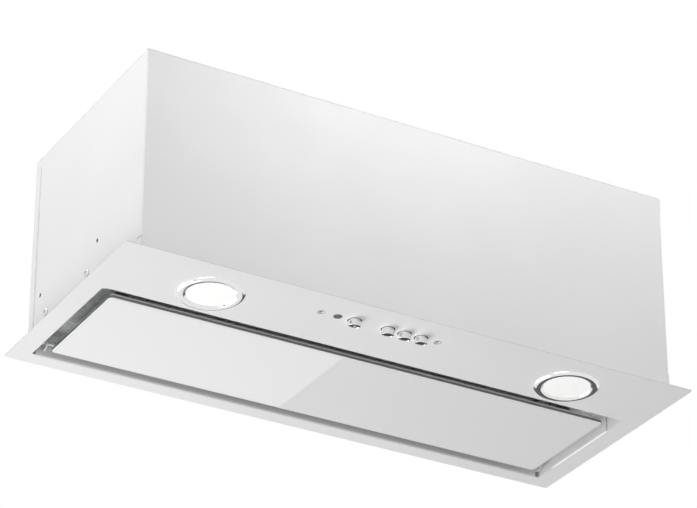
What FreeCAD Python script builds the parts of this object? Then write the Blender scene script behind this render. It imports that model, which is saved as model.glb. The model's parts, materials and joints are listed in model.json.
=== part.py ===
import FreeCAD, Part
import math
import os
import re
import Sketcher

# Built-in range hood, 70 cm wide, which is pushed up into a cut-out in a cupboard or ceiling
# until its rim meets the surface round the cut-out.  Millimetres.
# The origin is the middle of the rim's upper face.  +X runs along the hood's width, the
# push buttons are on the -Y side, and +Z points up into the cupboard.

doc = FreeCAD.newDocument("RangeHood")
sizes = doc.addObject("Spreadsheet::Sheet", "Sizes")
sizes.Label = "Sizes"

DRIVING_SIZES = (
    # rim and opening
    ("rim_wide", 700),
    ("rim_deep", 300),
    ("rim_thick", 1),
    ("rim_corner", 3),
    ("sheet_thick", 0.8),
    ("opening_wide", 650),
    ("opening_deep", 175),
    ("opening_mid", 41.5),
    ("wall_tall", 27),
    ("wall_leg", 5),
    ("wall_inset", 3),
    ("bend_out", 2.5),
    ("tab_bend", 2),
    ("tab_leg", 3.5),
    ("tab_long", 114),
    ("tab_tall", 42),
    ("tab_mid", 41.5),
    ("upstand_tall", 17.5),
    # casing
    ("case_wide", 654),
    ("case_deep", 278),
    ("case_tall", 243),
    ("panel_lift", 0.8),
    ("panel_thick", 1),
    ("sheet_play", 0.1),
    ("fold_wide", 12),
    ("corner_bend", 1.8),
    ("bend_low", 18.6),
    ("bend_high", 228),
    ("rear_fold_top", 231),
    ("side_hole_gap", 143),
    ("side_hole_high", 63),
    ("side_hole_radius", 2.5),
    ("side_screw_gap", 102.5),
    ("side_screw_high", 34.4),
    ("side_screw_shift", 1.3),
    ("side_screw_radius", 1.9),
    ("side_screw_head", 4.5),
    ("side_screw_tall", 2.7),
    ("side_screw_taper", 0.6),
    ("side_screw_long", 2),
    # glass panel that hangs on the rear edge of the opening
    ("glass_wide", 620),
    ("glass_deep", 147),
    ("glass_mid", 42),
    ("glass_thick", 4),
    ("glass_corner", 5),
    ("glass_chamfer", 0.5),
    ("carrier_wide", 606),
    ("carrier_deep", 124),
    ("carrier_tall", 8),
    ("hinge_back", 116.5),
    ("hinge_high", 9),
    ("hinge_pin_radius", 2),
    ("hinge_reach", 13),
    ("hinge_plate", 2),
    ("strap_long", 25),
    ("strap_half", 5),
    ("foot_thick", 1.5),
    ("ear_radius", 9),
    ("magnet_side", 280),
    ("magnet_mid", 9),
    ("magnet_wide", 16),
    ("magnet_deep", 12),
    ("magnet_drop", 2.4),
    ("catch_rise", 2),
    ("pin_clearance", 0.05),
    # filter and the tray that holds it
    ("filter_wide", 524),
    ("filter_deep", 161),
    ("filter_mid", 41.5),
    ("filter_low", 29),
    ("filter_tall", 10),
    ("filter_border", 12),
    ("filter_skin", 0.8),
    ("filter_gap", 1.5),
    ("filter_lip", 7),
    ("seat_deep", 9),
    ("tray_deep", 194),
    ("tray_mid", 39.5),
    ("tongue_half", 11),
    ("tongue_out", 4.3),
    ("tongue_in", 2.1),
    ("tongue_low", 1.4),
    ("tongue_thick", 1.6),
    ("stem_half", 4),
    ("stem_thick", 0.9),
    ("finger_half", 14),
    ("finger_near", 0.5),
    ("finger_far", 12),
    ("finger_drop", 3.4),
    ("finger_corner", 2.5),
    ("latch_play", 1),
    # lamps
    ("lamp_spread", 444),
    ("lamp_mid", -90.7),
    ("lamp_radius", 37),
    ("lens_radius", 27),
    ("lamp_hole", 33),
    ("housing_radius", 32),
    ("lamp_depth", 22),
    ("lens_rest", 30.5),
    ("lens_thick", 1.8),
    ("bezel_drop", 2.5),
    ("bezel_inner", 3),
    ("bezel_outer", 2.4),
    ("clip_wide", 10),
    ("clip_reach", 8),
    # push buttons
    ("button_row", -111.5),
    ("button_pitch", 20.55),
    ("button_first", -60.3),
    ("button_radius", 6.75),
    ("button_hole", 7.8),
    ("button_slant", 12),
    ("button_drop", 8),
    ("button_travel", 4),
    ("button_top", 20),
    ("switch_low", 8.5),
    ("switch_high", 37),
    ("switch_wide", 21),
    ("switch_margin", 12),
    ("switch_foot", 2),
    ("bracket_thick", 1.5),
    ("bracket_reach", 11.5),
    ("bracket_margin", 8),
    ("window_reach", 8.5),
    ("window_margin", 9),
    ("indicator_radius", 4.8),
    ("indicator_proud", 0.3),
    ("row_screw_radius", 3.25),
    ("row_screw_slope", 0.9),
    ("row_screw_neck", 1.6),
    # blower
    ("axle_mid", -14),
    ("axle_high", 143),
    ("scroll_wide", 124),
    ("scroll_wall", 1.5),
    ("scroll_first", 76),
    ("scroll_step", 12),
    ("scroll_flange", 2),
    ("inlet_radius", 56),
    ("wheel_radius", 65),
    ("wheel_wide", 102),
    ("wheel_disc", 2),
    ("wheel_lip", 1),
    ("ring_deep", 5),
    ("hub_radius", 11),
    ("hub_setback", 2),
    ("hub_long", 16),
    ("blade_depth", 12),
    ("blade_bend", 11),
    ("blade_skin", 0.9),
    ("blade_count", 24),
    ("shaft_radius", 4),
    ("shaft_start", -12),
    ("shaft_end", 64),
    ("motor_radius", 38),
    ("motor_start", 11),
    ("motor_end", 70),
    ("shaft_play", 0.5),
    ("arm_count", 3),
    ("arm_wide", 14),
    ("arm_reach", 78),
    ("arm_start", 20),
    ("arm_foot", 10),
    ("spider_radius", 30),
    ("arm_thick", 2.5),
    # electrical boxes under the lid
    ("capacitor_side", 120),
    ("capacitor_mid", -95),
    ("capacitor_wide", 60),
    ("capacitor_deep", 30),
    ("box_tall", 25),
    ("driver_side", 240),
    ("driver_mid", -40),
    ("driver_wide", 100),
    ("driver_deep", 40),
    ("connection_wide", 100),
    ("connection_deep", 90),
    ("connection_tall", 42),
    # duct outlet
    ("duct_mid", 36),
    ("duct_radius", 74.5),
    ("duct_wall", 2.5),
    ("duct_tall", 45),
    ("lid_opening", 68.5),
    ("collar_flange", 2.5),
    ("collar_square", 176),
    ("knuckle_start", 45),
    ("knuckle_gap", 0.5),
    ("notch_reach", 4),
    ("flap_gap", 0.4),
    ("flap_inset", 1),
    ("knuckle_long", 30),
    ("knuckle_radius", 2.8),
    ("flap_high", 246),
    ("flap_thick", 1.2),
    ("flap_pin_radius", 1.5),
    # cable entry
    ("gland_side", -220),
    ("gland_mid", -30),
    ("gland_bore", 3.75),
    ("gland_radius", 8),
    ("gland_tall", 15),
    ("hexagon_radius", 12.7),
    ("hexagon_tall", 5),
)

for row, (alias, number) in enumerate(DRIVING_SIZES, start=1):
    sizes.set(f"A{row}", alias)
    sizes.set(f"B{row}", str(number))
    sizes.setAlias(f"B{row}", alias)
doc.recompute()

ALIAS = re.compile(r"[a-z]+(?:_[a-z]+)+")
V = FreeCAD.Vector
SUB_PARTS = []


def cells(text):
    """An expression in which every cell name is a reference to the sheet."""
    return ALIAS.sub(lambda word: "Sizes." + word.group(0), text)


def value(text):
    """The number that an expression gives now."""
    return float(sizes.evalExpression(cells(text)))


def bind(item, prop, text):
    item.setExpression(prop, cells(text))


def sub_part(label, item):
    """Names a finished piece, which is written to a file of that name."""
    item.Label = label
    SUB_PARTS.append(item)
    return item


# Primitives whose faces are given as expressions --------------------------------------------


def block(x, y, z):
    """Box between a low and a high face on each axis."""
    item = doc.addObject("Part::Box", "Block")
    for side, axis, (low, high) in (("Length", "x", x), ("Width", "y", y), ("Height", "z", z)):
        bind(item, side, f"({high}) - ({low})")
        bind(item, "Placement.Base." + axis, low)
    return item


def aim(item, axis, centre, low):
    """Turns a round primitive's own axis to X, Y or Z and puts its low end in place."""
    turn = {"x": (V(0, 1, 0), 90), "y": (V(1, 0, 0), -90), "z": (V(0, 0, 1), 0)}[axis]
    item.Placement.Rotation = FreeCAD.Rotation(*turn)
    across = [name for name in "xyz" if name != axis]
    bind(item, "Placement.Base." + axis, low)
    for name, place in zip(across, centre):
        bind(item, "Placement.Base." + name, place)
    return item


def rod(radius, axis, centre, span):
    """Cylinder along an axis, between two places on it."""
    low, high = span
    item = doc.addObject("Part::Cylinder", "Rod")
    bind(item, "Radius", radius)
    bind(item, "Height", f"({high}) - ({low})")
    return aim(item, axis, centre, low)


def fuse(*pieces):
    item = doc.addObject("Part::MultiFuse", "Fuse")
    item.Shapes = list(pieces)
    item.Refine = True
    return item


def cut(base, *tools):
    item = doc.addObject("Part::Cut", "Cut")
    item.Base = base
    item.Tool = tools[0] if len(tools) == 1 else fuse(*tools)
    item.Refine = True
    return item


def group(*pieces):
    """Separate solids that share one name, such as a set of screws."""
    item = doc.addObject("Part::Compound", "Group")
    item.Links = list(pieces)
    return item


def eased(kind, base, radius, wanted):
    """Eases the edges of a piece that a test picks, by a fillet or a chamfer."""
    doc.recompute()
    size = value(radius)
    picked = [n for n, edge in enumerate(base.Shape.Edges, start=1) if wanted(edge)]
    item = doc.addObject(kind, "Eased")
    item.Base = base
    item.Edges = [(n, size, size) for n in picked]
    return item


def rounded(base, radius, wanted):
    return eased("Part::Fillet", base, radius, wanted)


def chamfered(base, size, wanted):
    return eased("Part::Chamfer", base, size, wanted)


def runs_along(edge, axis):
    """True for a straight edge that lies along an axis."""
    if not isinstance(edge.Curve, Part.Line):
        return False
    return abs(abs(edge.Curve.Direction.dot(axis)) - 1) < 1e-6


def middle(edge):
    return edge.BoundBox.Center


# Sketched bodies -----------------------------------------------------------------------------


def hold(sketch, kind, geometry, point, text):
    """Holds one coordinate of a point, from the sketch's origin, at an expression."""
    number = value(text)
    if abs(number) < 1e-9:
        axis = -2 if kind == "DistanceX" else -1
        sketch.addConstraint(Sketcher.Constraint("PointOnObject", geometry, point, axis))
        return
    index = sketch.addConstraint(Sketcher.Constraint(kind, -1, 1, geometry, point, number))
    bind(sketch, f"Constraints[{index}]", text)


def add_polygon(sketch, corners):
    first = sketch.GeometryCount
    spots = [V(value(a), value(b), 0) for a, b in corners]
    count = len(spots)
    for n in range(count):
        sketch.addGeometry(Part.LineSegment(spots[n], spots[(n + 1) % count]), False)
    for n in range(count):
        join = Sketcher.Constraint("Coincident", first + n, 2, first + (n + 1) % count, 1)
        sketch.addConstraint(join)
    for n, (a, b) in enumerate(corners):
        hold(sketch, "DistanceX", first + n, 1, a)
        hold(sketch, "DistanceY", first + n, 1, b)


def rectangle(x, y):
    (left, right), (low, high) = x, y
    return ((left, low), (right, low), (right, high), (left, high))


def sketch_on(body, role, height, polygons):
    """Sketch on one of the body's own planes, raised to a height above it."""
    plane = next(f for f in body.Origin.OriginFeatures if f.Role == role)
    sketch = body.newObject("Sketcher::SketchObject", "Profile")
    sketch.AttachmentSupport = (plane, [""])
    sketch.MapMode = "FlatFace"
    bind(sketch, "AttachmentOffset.Base.z", height)
    for corners in polygons:
        add_polygon(sketch, corners)
    return sketch


def padded(role, height, length, *polygons):
    """Body with one Pad of a sketch, from a height along the plane's normal."""
    body = doc.addObject("PartDesign::Body", "Body")
    pad = body.newObject("PartDesign::Pad", "Pad")
    pad.Profile = sketch_on(body, role, height, polygons)
    bind(pad, "Length", length)
    return body


def turned(profile, centre=("0", "0", "0"), tilt=None):
    """Body of revolution about its own Z.  The profile's corners are (radius, height)."""
    body = doc.addObject("PartDesign::Body", "Body")
    sketch = sketch_on(body, "XZ_Plane", "0", [profile])
    spin = body.newObject("PartDesign::Revolution", "Revolution")
    spin.Profile = sketch
    spin.ReferenceAxis = (sketch, ["V_Axis"])
    spin.Angle = 360
    if tilt:
        body.Placement.Rotation = FreeCAD.Rotation(*tilt)
    for axis, place in zip("xyz", centre):
        bind(body, "Placement.Base." + axis, place)
    return body


# Places that several pieces share ------------------------------------------------------------

SIDES = (("left", "-1"), ("right", "1"))
BUTTONS = (
    ("light_button", "0"),
    ("speed_button_1", "2"),
    ("speed_button_2", "3"),
    ("speed_button_3", "4"),
)
BUTTON_X = {label: f"button_first + {step} * button_pitch" for label, step in BUTTONS}
INDICATOR_X = "button_first - button_pitch"
ROW_SCREWS_X = ("button_first - 2 * button_pitch", "button_first + 5 * button_pitch")
CASE_X = ("-case_wide / 2", "case_wide / 2")
CASE_Y = ("-case_deep / 2", "case_deep / 2")
PANEL_Z = ("panel_lift", "case_tall - panel_thick")
OPENING_Y = ("opening_mid - opening_deep / 2", "opening_mid + opening_deep / 2")
SIDE_HOLES_Y = [f"tab_mid + {sign} * side_hole_gap / 2" for _, sign in SIDES]
SIDE_SCREWS_Y = [f"tab_mid + side_screw_shift + {sign} * side_screw_gap / 2" for _, sign in SIDES]
AXLE = ("axle_mid", "axle_high")
DUCT = ("0", "duct_mid")
FLAP_AXIS = ("duct_mid", "flap_high")
FLAP_PIN_X = ("-duct_radius + 1", "duct_radius - 1")
BLADE_TURNS = (270, 295, 320, 345)
KNUCKLES = {"front_flap": "-knuckle_start", "rear_flap": "knuckle_start - knuckle_long"}
DUCT_TOP = "case_tall + duct_tall"
INNER_LEVEL = "sheet_thick - rim_thick"
BRACKET_TOP = "sheet_thick - rim_thick + bracket_thick"


def across(sign, near, far):
    """Span on one side of the middle, low end first."""
    return sorted((f"{sign} * ({near})", f"{sign} * ({far})"), key=value)


# Base frame: rim, opening, folded walls and upstands -------------------------------------------


def folded_wall(role, start, length, edge, sign, top):
    """Strip of sheet that bends from the rim up into a wall.

    edge is the wall's visible face, and sign the side on which the sheet lies.
    """
    leg = f"{edge} + {sign} * wall_leg"
    back = f"{edge} + {sign} * sheet_thick"
    corners = ((edge, "-rim_thick"), (leg, "-rim_thick"), (leg, INNER_LEVEL))
    corners += ((back, INNER_LEVEL), (back, top), (edge, top))
    strip = padded(role, start, length, corners)
    along = V(1, 0, 0) if role == "YZ_Plane" else V(0, 1, 0)
    level = "y" if role == "YZ_Plane" else "x"

    def at(place, height):
        def test(edge_found):
            spot = middle(edge_found)
            near = abs(getattr(spot, level) - value(place)) < 1e-3
            return near and abs(spot.z - value(height)) < 1e-3 and runs_along(edge_found, along)

        return test

    soft = rounded(strip, "bend_out - sheet_thick", at(back, INNER_LEVEL))
    return rounded(soft, "bend_out", at(edge, "-rim_thick"))


def base_frame():
    plate = padded(
        "XY_Plane",
        "-rim_thick",
        "rim_thick",
        rectangle(("-rim_wide / 2", "rim_wide / 2"), ("-rim_deep / 2", "rim_deep / 2")),
    )
    plate = rounded(plate, "rim_corner", lambda edge: runs_along(edge, V(0, 0, 1)))
    through = ("-2 * rim_thick", "rim_thick")
    inner = block(
        (CASE_X[0] + " - panel_thick - sheet_play", CASE_X[1] + " + panel_thick + sheet_play"),
        (CASE_Y[0] + " - sheet_play", CASE_Y[1] + " + sheet_play"),
        (INNER_LEVEL, "rim_thick"),
    )
    wide = ("-opening_wide / 2 - 1", "opening_wide / 2 + 1")
    holes = [
        inner,
        block(wide, OPENING_Y, through),
        block(
            ("-opening_wide / 2 - tab_bend", "opening_wide / 2 + tab_bend"),
            ("tab_mid - tab_long / 2", "tab_mid + tab_long / 2"),
            through,
        ),
        block(
            ("-opening_wide / 2 + wall_inset", "opening_wide / 2 - wall_inset"),
            (OPENING_Y[0] + " - bend_out", OPENING_Y[1] + " + bend_out"),
            through,
        ),
    ]
    for _, sign in SIDES:
        holes.append(rod("lamp_hole", "z", (f"{sign} * lamp_spread / 2", "lamp_mid"), through))
    for place in BUTTON_X.values():
        holes.append(rod("button_hole", "z", (place, "button_row"), through))
    holes.append(rod("indicator_radius", "z", (INDICATOR_X, "button_row"), through))
    for place in ROW_SCREWS_X:
        holes.append(rod("row_screw_radius + sheet_play", "z", (place, "button_row"), through))
    pieces = [cut(plate, *holes)]
    run = ("-opening_wide / 2 + wall_inset", "opening_wide - 2 * wall_inset")
    pieces.append(folded_wall("YZ_Plane", *run, OPENING_Y[0], "-1", "wall_tall"))
    pieces.append(folded_wall("YZ_Plane", *run, OPENING_Y[1], "1", "wall_tall"))
    for _, sign in SIDES:
        pieces.append(side_tab(sign))
        edge = f"{sign} * (case_deep / 2 - panel_thick)"
        faces = [edge, f"{edge} - {sign} * sheet_thick"]
        faces.sort(key=value)
        upright = (INNER_LEVEL, "upstand_tall")
        pieces.append(block(("-opening_wide / 2", "opening_wide / 2"), faces, upright))
    return sub_part("base_frame", fuse(*pieces))


def side_tab(sign):
    """Tab at the opening's short side, which the casing's side is screwed to."""
    edge = f"{sign} * opening_wide / 2"
    back = f"{edge} + {sign} * sheet_thick"
    leg = f"{edge} + {sign} * tab_leg"
    corners = ((edge, "-rim_thick"), (leg, "-rim_thick"), (leg, INNER_LEVEL))
    corners += ((back, INNER_LEVEL), (back, "tab_tall"), (edge, "tab_tall"))
    strip = padded("XZ_Plane", "-tab_mid - tab_long / 2", "tab_long", corners)

    def bend(place, height):
        return lambda found: (
            runs_along(found, V(0, 1, 0))
            and abs(middle(found).x - value(place)) < 1e-3
            and abs(middle(found).z - value(height)) < 1e-3
        )

    soft = rounded(strip, "tab_bend - sheet_thick", bend(back, INNER_LEVEL))
    soft = rounded(soft, "tab_bend", bend(edge, "-rim_thick"))
    span = across(sign, "opening_wide / 2 - 1", "case_wide / 2")
    bores = [rod("side_screw_radius", "x", (y, "side_screw_high"), span) for y in SIDE_SCREWS_Y]
    return cut(soft, *bores)


# Casing ----------------------------------------------------------------------------------------


def front_panel():
    """Front sheet, whose ends are bent round the casing's corners between two reliefs."""
    plate = block(CASE_X, (CASE_Y[0], CASE_Y[0] + " + panel_thick"), PANEL_Z)
    bends = ("bend_low", "bend_high")
    ends = []
    reliefs = []
    for _, sign in SIDES:
        x = across(sign, "case_wide / 2 - panel_thick", "case_wide / 2")
        ends.append(block(x, (CASE_Y[0], CASE_Y[0] + " + 2 * panel_thick"), bends))
        reliefs.append(corner_relief(sign, bends))
    return sub_part("front_panel", cut(fuse(plate, *ends), *reliefs))


def corner_relief(sign, bends):
    """What the bend takes off the casing's corner: a square less a quarter round."""
    centre = (f"{sign} * (case_wide / 2 - corner_bend)", CASE_Y[0] + " + corner_bend")
    x = across(sign, "case_wide / 2 - corner_bend", "case_wide / 2 + 1")
    square = block(x, (CASE_Y[0] + " - 1", centre[1]), bends)
    return cut(square, rod("corner_bend", "z", centre, bends))


def side_panel(label, sign):
    """Side sheet with two fixing holes, two screw holes and a bend relief at the front."""
    faces = across(sign, "case_wide / 2 - panel_thick", "case_wide / 2")
    clear = [f"{faces[0]} - 1", f"{faces[1]} + 1"]
    sheet = block(faces, (CASE_Y[0] + " + panel_thick", CASE_Y[1] + " - panel_thick"), PANEL_Z)
    tools = [
        block(
            clear,
            (CASE_Y[0], CASE_Y[0] + " + 2 * panel_thick"),
            ("bend_low", "bend_high"),
        ),
        block(
            clear,
            (CASE_Y[0], CASE_Y[0] + " + fold_wide"),
            ("upstand_tall", "bend_low"),
        ),
    ]
    for place in SIDE_HOLES_Y:
        tools.append(rod("side_hole_radius", "x", (place, "side_hole_high"), clear))
    for place in SIDE_SCREWS_Y:
        tools.append(rod("side_screw_radius + sheet_play", "x", (place, "side_screw_high"), clear))
    return sub_part(label, cut(sheet, *tools))


def rear_panel():
    """Rear sheet with folds that wrap the sides, stopped short of the top."""
    back = (CASE_Y[1] + " - panel_thick", CASE_Y[1])
    sheet = block(CASE_X, back, PANEL_Z)
    folds = []
    for _, sign in SIDES:
        x = across(sign, "case_wide / 2", "case_wide / 2 + panel_thick")
        y = (CASE_Y[1] + " - fold_wide", CASE_Y[1])
        folds.append(block(x, y, ("panel_lift", "rear_fold_top")))
    folded = fuse(sheet, *folds)

    def is_outer_bend(edge):
        spot = middle(edge)
        outside = abs(abs(spot.x) - value("case_wide / 2 + panel_thick")) < 1e-3
        return runs_along(edge, V(0, 0, 1)) and outside and spot.y > value(CASE_Y[1]) - 1e-3

    return sub_part("rear_panel", rounded(folded, "panel_thick * 0.9", is_outer_bend))


def top_panel():
    """Lid with the air outlet, the cable hole and a fold down inside each long side."""
    lid = block(CASE_X, CASE_Y, ("case_tall - panel_thick", "case_tall"))
    inner = ("-case_wide / 2 + 2 * panel_thick", "case_wide / 2 - 2 * panel_thick")
    folds = []
    for _, sign in SIDES:
        y = across(sign, "case_deep / 2 - 2 * panel_thick", "case_deep / 2 - panel_thick")
        folds.append(block(inner, y, ("bend_high", "case_tall - panel_thick")))
    through = ("case_tall - 2 * panel_thick", "case_tall + 1")
    outlet = rod("lid_opening", "z", DUCT, through)
    entry = rod("gland_radius", "z", ("gland_side", "gland_mid"), through)
    return sub_part("top_panel", cut(fuse(lid, *folds), outlet, entry))


# Duct outlet -----------------------------------------------------------------------------------


def outlet_collar():
    """Square flange with the round spigot that the duct slides over."""
    reach = "collar_square / 2"
    flange = block(
        (f"-{reach}", reach),
        (f"duct_mid - {reach}", f"duct_mid + {reach}"),
        ("case_tall", "case_tall + collar_flange"),
    )
    spigot = rod("duct_radius", "z", DUCT, ("case_tall", DUCT_TOP))
    bore = rod("duct_radius - duct_wall", "z", DUCT, ("case_tall - 1", DUCT_TOP + " + 1"))
    seats = rod("flap_pin_radius", "x", FLAP_AXIS, FLAP_PIN_X)
    return sub_part("outlet_collar", cut(fuse(flange, spigot), bore, seats))


def flap_pin():
    return sub_part("flap_pin", rod("flap_pin_radius", "x", FLAP_AXIS, FLAP_PIN_X))


def outlet_flap(label, sign):
    """Half disc that hangs on the pin by a knuckle and lies on the lid round its opening."""
    plate_z = ("flap_high - knuckle_radius", "flap_high - knuckle_radius + flap_thick")
    y = sorted((f"duct_mid + {sign} * flap_gap", f"duct_mid + {sign} * duct_radius"), key=value)
    plate = doc.addObject("Part::Common", "Half")
    plate.Base = rod("duct_radius - duct_wall - flap_inset", "z", DUCT, plate_z)
    plate.Tool = block(("-duct_radius", "duct_radius"), y, plate_z)
    other = next(start for name, start in KNUCKLES.items() if name != label)
    notch_x = (f"{other} - knuckle_gap", f"{other} + knuckle_long + knuckle_gap")
    notch = block(notch_x, ("duct_mid - notch_reach", "duct_mid + notch_reach"), plate_z)
    start = KNUCKLES[label]
    knuckle = rod("knuckle_radius", "x", FLAP_AXIS, (start, f"{start} + knuckle_long"))
    bore = rod("flap_pin_radius + pin_clearance", "x", FLAP_AXIS, ("-duct_radius", "duct_radius"))
    return sub_part(label, cut(fuse(cut(plate, notch), knuckle), bore))


# Blower ----------------------------------------------------------------------------------------


def scroll_edges(grow):
    """Outline of the scroll, moved outwards by grow, as (horizontal, vertical) curves.

    Three quarter arcs lead round the wheel, each wider than the last by one step and centred so
    that it runs on smoothly, and a straight outlet rises from the last one to the lid.
    """
    half = value("scroll_step / 2")
    first = value("scroll_first") + grow
    y = value("axle_mid")
    z = value("axle_high")
    top = value("case_tall - panel_thick")
    left = y - half - grow
    tongue = math.degrees(math.acos(-grow / first))
    arcs = (
        (y - half, z - half, first, tongue, 180),
        (y + half, z - half, first + 2 * half, 180, 270),
        (y + half, z + half, first + 4 * half, 270, 360),
    )
    edges = []
    for level, up, radius, start, end in arcs:
        circle = Part.Circle(V(level, up, 0), V(0, 0, 1), radius)
        edges.append(Part.ArcOfCircle(circle, math.radians(start), math.radians(end)))
    right = y + half + first + 4 * half
    corners = (V(right, z + half, 0), V(right, top, 0), V(left, top, 0), edges[0].StartPoint)
    edges += [Part.LineSegment(a, b) for a, b in zip(corners, corners[1:])]
    return edges


def scroll_block(grow, x):
    """Solid of the scroll's outline between two places on the axle."""
    body = doc.addObject("PartDesign::Body", "Body")
    sketch = sketch_on(body, "YZ_Plane", x[0], [])
    for edge in scroll_edges(value(grow)):
        sketch.addGeometry(edge, False)
    pad = body.newObject("PartDesign::Pad", "Pad")
    pad.Profile = sketch
    bind(pad, "Length", f"({x[1]}) - ({x[0]})")
    return body


def scroll_half(label, sign):
    """Moulded half of the scroll: side with its inlet, half of the wrapper and top flange."""
    half = "scroll_wide / 2"
    reach = "collar_square / 2"
    flange = block(
        across(sign, "0", reach),
        (f"duct_mid - {reach}", f"duct_mid + {reach}"),
        ("case_tall - panel_thick - scroll_flange", "case_tall - panel_thick"),
    )
    inlet = rod("inlet_radius", "x", AXLE, across(sign, "0", "scroll_wide"))
    hollow = scroll_block("0", across(sign, "-1", f"{half} - scroll_wall"))
    outside = scroll_block("scroll_wall", across(sign, "0", half))
    return sub_part(label, cut(fuse(outside, flange), hollow, inlet))


def add_pad(body, role, start, length, *polygons):
    pad = body.newObject("PartDesign::Pad", "Pad")
    pad.Profile = sketch_on(body, role, start, polygons)
    bind(pad, "Length", length)
    return pad


def add_disc(body, start, length, *radii):
    """Pad of a circle, or of a ring between two circles, square to the axle."""
    pad = add_pad(body, "YZ_Plane", start, length)
    for radius in radii:
        circle = Part.Circle(V(0, 0, 0), V(0, 0, 1), value(radius))
        index = pad.Profile[0].addGeometry(circle, False)
        pad.Profile[0].addConstraint(Sketcher.Constraint("Coincident", index, 3, -1, 1))
        size = Sketcher.Constraint("Radius", index, value(radius))
        bind(pad.Profile[0], f"Constraints[{pad.Profile[0].addConstraint(size)}]", radius)
    return pad


def repeated(body, pads, count):
    """Pattern of the pads round the body's own X axis."""
    axle = next(f for f in body.Origin.OriginFeatures if f.Role == "X_Axis")
    pattern = body.newObject("PartDesign::PolarPattern", "Pattern")
    pattern.Originals = pads
    pattern.Axis = (axle, [""])
    pattern.Angle = 360
    bind(pattern, "Occurrences", count)
    body.Tip = pattern
    return pattern


def on_axle(body):
    bind(body, "Placement.Base.y", AXLE[0])
    bind(body, "Placement.Base.z", AXLE[1])
    return body


def blade_outline():
    """Corners of a thin blade that starts out along the radius and bends over to the rim.

    Both faces follow quarter circles about one point, in three flats each.
    """
    centre = ("wheel_radius - blade_depth", "blade_bend")
    corners = []
    for radius, turns in (("blade_bend", BLADE_TURNS), ("(blade_bend - blade_skin)", BLADE_TURNS[::-1])):
        for turn in turns:
            out = f"{centre[0]} + {radius} * cos({turn} * 1deg)"
            round_by = f"{centre[1]} + {radius} * sin({turn} * 1deg)"
            corners.append((out, round_by))
    return corners


def impeller():
    """Wheel with forward-curved blades on both sides of a disc, open to an inlet at each end."""
    body = doc.addObject("PartDesign::Body", "Wheel")
    add_disc(body, "-wheel_disc / 2", "wheel_disc", "wheel_radius - blade_depth + wheel_lip", "shaft_radius")
    add_disc(body, "shaft_start + hub_setback", "hub_long", "hub_radius", "shaft_radius")
    blade = add_pad(body, "YZ_Plane", "-wheel_wide / 2", "wheel_wide", blade_outline())
    repeated(body, [blade], "blade_count")
    for start in ("-wheel_wide / 2 - wheel_disc", "wheel_wide / 2"):
        add_disc(body, start, "wheel_disc", "wheel_radius", "wheel_radius - ring_deep")
    return sub_part("impeller", on_axle(body))


def motor_shaft():
    return sub_part("motor_shaft", rod("shaft_radius", "x", AXLE, ("shaft_start", "shaft_end")))


def motor():
    """Closed motor that sits in the right-hand inlet, with the blind bore its shaft turns in."""
    bore = "shaft_radius + pin_clearance"
    profile = (
        (bore, "motor_start"),
        ("motor_radius", "motor_start"),
        ("motor_radius", "motor_end"),
        ("0", "motor_end"),
        ("0", "shaft_end + shaft_play"),
        (bore, "shaft_end + shaft_play"),
    )
    return sub_part("motor", turned(profile, ("0",) + AXLE, (V(0, 1, 0), 90)))


def motor_bracket():
    """Three-armed carrier that holds the motor's end face clear of the inlet."""
    body = doc.addObject("PartDesign::Body", "Spider")
    add_disc(body, "motor_end", "arm_thick", "spider_radius")
    side = ("-arm_wide / 2", "arm_wide / 2")
    arm = add_pad(body, "YZ_Plane", "motor_end", "arm_thick", rectangle(side, ("arm_start", "arm_reach")))
    foot_long = "motor_end - scroll_wide / 2"
    foot_end = rectangle(side, ("arm_reach - arm_foot", "arm_reach"))
    foot = add_pad(body, "YZ_Plane", "scroll_wide / 2", foot_long, foot_end)
    repeated(body, [arm, foot], "arm_count")
    return sub_part("motor_bracket", on_axle(body))


CONNECTION_SIZE = ("connection_wide", "connection_deep", "connection_tall")
BOXES = (
    ("capacitor", ("capacitor_side", "capacitor_mid"), ("capacitor_wide", "capacitor_deep", "box_tall")),
    ("connection_box", ("gland_side", "gland_mid"), CONNECTION_SIZE),
    ("lamp_driver", ("driver_side", "driver_mid"), ("driver_wide", "driver_deep", "box_tall")),
)


def box_under_lid(label, spot, wide, deep, tall):
    """Closed electrical box fixed under the lid."""
    x = (f"{spot[0]} - {wide} / 2", f"{spot[0]} + {wide} / 2")
    y = (f"{spot[1]} - {deep} / 2", f"{spot[1]} + {deep} / 2")
    return sub_part(label, block(x, y, (f"{PANEL_Z[1]} - {tall}", PANEL_Z[1])))


def cable_gland():
    """Screwed cable entry on the lid: hexagon and domed nut round one bore."""
    centre = ("gland_side", "gland_mid", "case_tall")
    profile = (
        ("gland_bore", "-panel_thick"),
        ("gland_radius", "-panel_thick"),
        ("gland_radius", "gland_tall"),
        ("gland_bore", "gland_tall"),
    )
    hexagon = doc.addObject("Part::Prism", "Hexagon")
    hexagon.Polygon = 6
    bind(hexagon, "Circumradius", "hexagon_radius")
    bind(hexagon, "Height", "hexagon_tall")
    aim(hexagon, "z", centre[:2], "case_tall")
    bore_z = ("case_tall - 2 * panel_thick", "case_tall + gland_tall + 1")
    bore = rod("gland_bore", "z", centre[:2], bore_z)
    return sub_part("cable_gland", cut(fuse(turned(profile, centre), hexagon), bore))


# Lamps -----------------------------------------------------------------------------------------


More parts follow.
